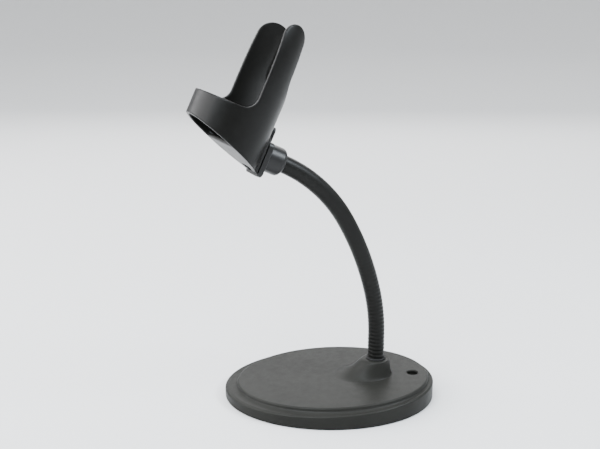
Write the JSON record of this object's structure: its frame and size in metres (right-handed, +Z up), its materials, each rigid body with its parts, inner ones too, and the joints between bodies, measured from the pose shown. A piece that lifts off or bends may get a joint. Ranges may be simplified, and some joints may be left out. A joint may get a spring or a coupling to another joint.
{
  "type": "flexible neck stand for a handheld barcode scanner",
  "caption": "Weighted oval base with a flexible neck and an open cup with ears that holds a handheld barcode scanner over a counter.",
  "frame": {"origin": "point of the desk straight below the middle of the neck's foot, on the underside of the pad", "axes": "+Z up, -Y to the front of the base, +X to the right"},
  "size_m": [0.1406, 0.1818, 0.2862],
  "materials": {
    "base_plastic": "satin moulded black plastic",
    "cup_plastic": "satin moulded black plastic",
    "collar_plastic": "smooth satin black plastic",
    "latch_plastic": "black plastic",
    "neck_sleeve": "satin black soft sleeve with faint spiral ribs",
    "grommet_rubber": "black rubber",
    "rubber_pad": "fine-grained matt rubber sheet",
    "painted_steel": "black painted sheet steel",
    "cast_iron": "rough cast",
    "zinc_steel": "zinc plated",
    "spring_steel": "bright wire"
  },
  "bodies": {
    "base": {"base_cover": "base_plastic", "base_weight": "cast_iron", "bottom_plate": "painted_steel", "nonslip_pad": "rubber_pad", "plate_screws": "zinc_steel", "weight_screws": "zinc_steel", "neck_grommet": "grommet_rubber", "neck_foot_sleeve": "neck_sleeve", "neck_foot_stud": "zinc_steel", "neck_washer": "zinc_steel", "neck_nut": "zinc_steel"},
    "neck_link_01": {"neck_sleeve_01": "neck_sleeve", "neck_core_01": "zinc_steel"},
    "neck_link_02": {"neck_sleeve_02": "neck_sleeve", "neck_core_02": "zinc_steel"},
    "neck_link_03": {"neck_sleeve_03": "neck_sleeve", "neck_core_03": "zinc_steel"},
    "neck_link_04": {"neck_sleeve_04": "neck_sleeve", "neck_core_04": "zinc_steel"},
    "neck_link_05": {"neck_sleeve_05": "neck_sleeve", "neck_core_05": "zinc_steel"},
    "neck_link_06": {"neck_sleeve_06": "neck_sleeve", "neck_core_06": "zinc_steel"},
    "neck_link_07": {"neck_sleeve_07": "neck_sleeve", "neck_core_07": "zinc_steel"},
    "neck_link_08": {"neck_sleeve_08": "neck_sleeve", "neck_core_08": "zinc_steel"},
    "neck_link_09": {"neck_sleeve_09": "neck_sleeve", "neck_core_09": "zinc_steel"},
    "neck_link_10": {"neck_sleeve_10": "neck_sleeve", "neck_core_10": "zinc_steel"},
    "neck_link_11": {"neck_sleeve_11": "neck_sleeve", "neck_core_11": "zinc_steel"},
    "head": {"neck_top_sleeve": "neck_sleeve", "head_stud": "zinc_steel", "head_collar": "collar_plastic", "collar_set_screw": "zinc_steel", "bracket_plate": "collar_plastic", "cup": "cup_plastic", "latch_pin": "zinc_steel", "latch_spring": "spring_steel"},
    "latch": {"latch_lever": "latch_plastic"}
  },
  "joints": [
    {"name": "bend_lower", "type": "hinge", "parent": "base", "child": "neck_link_01", "pos_m": [0, 0, 0.03557], "axis": [0.9205, 0.3907, 0], "range_deg": [-9, 7]},
    {"name": "side_lower", "type": "hinge", "parent": "neck_link_01", "child": "neck_link_02", "pos_m": [0.00001, -0.00001, 0.05164], "axis": [-0.3907, 0.9204, 0.014], "range_deg": [-9, 9]},
    {"name": "bend_lower_2", "type": "hinge", "parent": "neck_link_02", "child": "neck_link_03", "pos_m": [0.00043, -0.00102, 0.06767], "axis": [0.9205, 0.3907, 0], "range_deg": [-9, 7]},
    {"name": "side_lower_2", "type": "hinge", "parent": "neck_link_03", "child": "neck_link_04", "pos_m": [0.00153, -0.00361, 0.08348], "axis": [-0.3804, 0.8962, 0.2284], "range_deg": [-9, 9]},
    {"name": "bend_lower_3", "type": "hinge", "parent": "neck_link_04", "child": "neck_link_05", "pos_m": [0.00321, -0.00755, 0.09897], "axis": [0.9205, 0.3907, 0], "range_deg": [-9, 7]},
    {"name": "side_lower_3", "type": "hinge", "parent": "neck_link_05", "child": "neck_link_06", "pos_m": [0.00532, -0.01252, 0.11411], "axis": [-0.363, 0.8552, 0.3701], "range_deg": [-9, 9]},
    {"name": "bend_upper", "type": "hinge", "parent": "neck_link_06", "child": "neck_link_07", "pos_m": [0.00785, -0.01849, 0.12881], "axis": [0.9205, 0.3907, 0], "range_deg": [-9, 7]},
    {"name": "side_upper", "type": "hinge", "parent": "neck_link_07", "child": "neck_link_08", "pos_m": [0.0108, -0.02543, 0.143], "axis": [-0.3381, 0.7966, 0.5011], "range_deg": [-9, 9]},
    {"name": "bend_upper_2", "type": "hinge", "parent": "neck_link_08", "child": "neck_link_09", "pos_m": [0.0143, -0.03369, 0.15632], "axis": [0.9205, 0.3907, 0], "range_deg": [-9, 7]},
    {"name": "side_upper_2", "type": "hinge", "parent": "neck_link_09", "child": "neck_link_10", "pos_m": [0.01849, -0.04356, 0.16828], "axis": [-0.2722, 0.6412, 0.7175], "range_deg": [-9, 9]},
    {"name": "bend_upper_3", "type": "hinge", "parent": "neck_link_10", "child": "neck_link_11", "pos_m": [0.02328, -0.05485, 0.17864], "axis": [0.9205, 0.3907, 0], "range_deg": [-9, 7]},
    {"name": "side_upper_3", "type": "hinge", "parent": "neck_link_11", "child": "head", "pos_m": [0.02859, -0.06735, 0.18721], "axis": [-0.185, 0.4359, 0.8808], "range_deg": [-9, 9]},
    {"name": "latch_press", "type": "hinge", "parent": "head", "child": "latch", "pos_m": [0.03529, -0.08314, 0.20323], "axis": [-0.9205, -0.3907, 0], "range_deg": [0, 10], "stiffness_Nm_per_rad": 0.03, "springref_deg": -3}
  ],
  "couplings": [
    {"joint": "bend_lower_2", "follows": "bend_lower", "ratio": 1},
    {"joint": "side_lower_2", "follows": "side_lower", "ratio": 1},
    {"joint": "bend_lower_3", "follows": "bend_lower", "ratio": 1},
    {"joint": "side_lower_3", "follows": "side_lower", "ratio": 1},
    {"joint": "bend_upper_2", "follows": "bend_upper", "ratio": 1},
    {"joint": "side_upper_2", "follows": "side_upper", "ratio": 1},
    {"joint": "bend_upper_3", "follows": "bend_upper", "ratio": 1},
    {"joint": "side_upper_3", "follows": "side_upper", "ratio": 1}
  ]
}
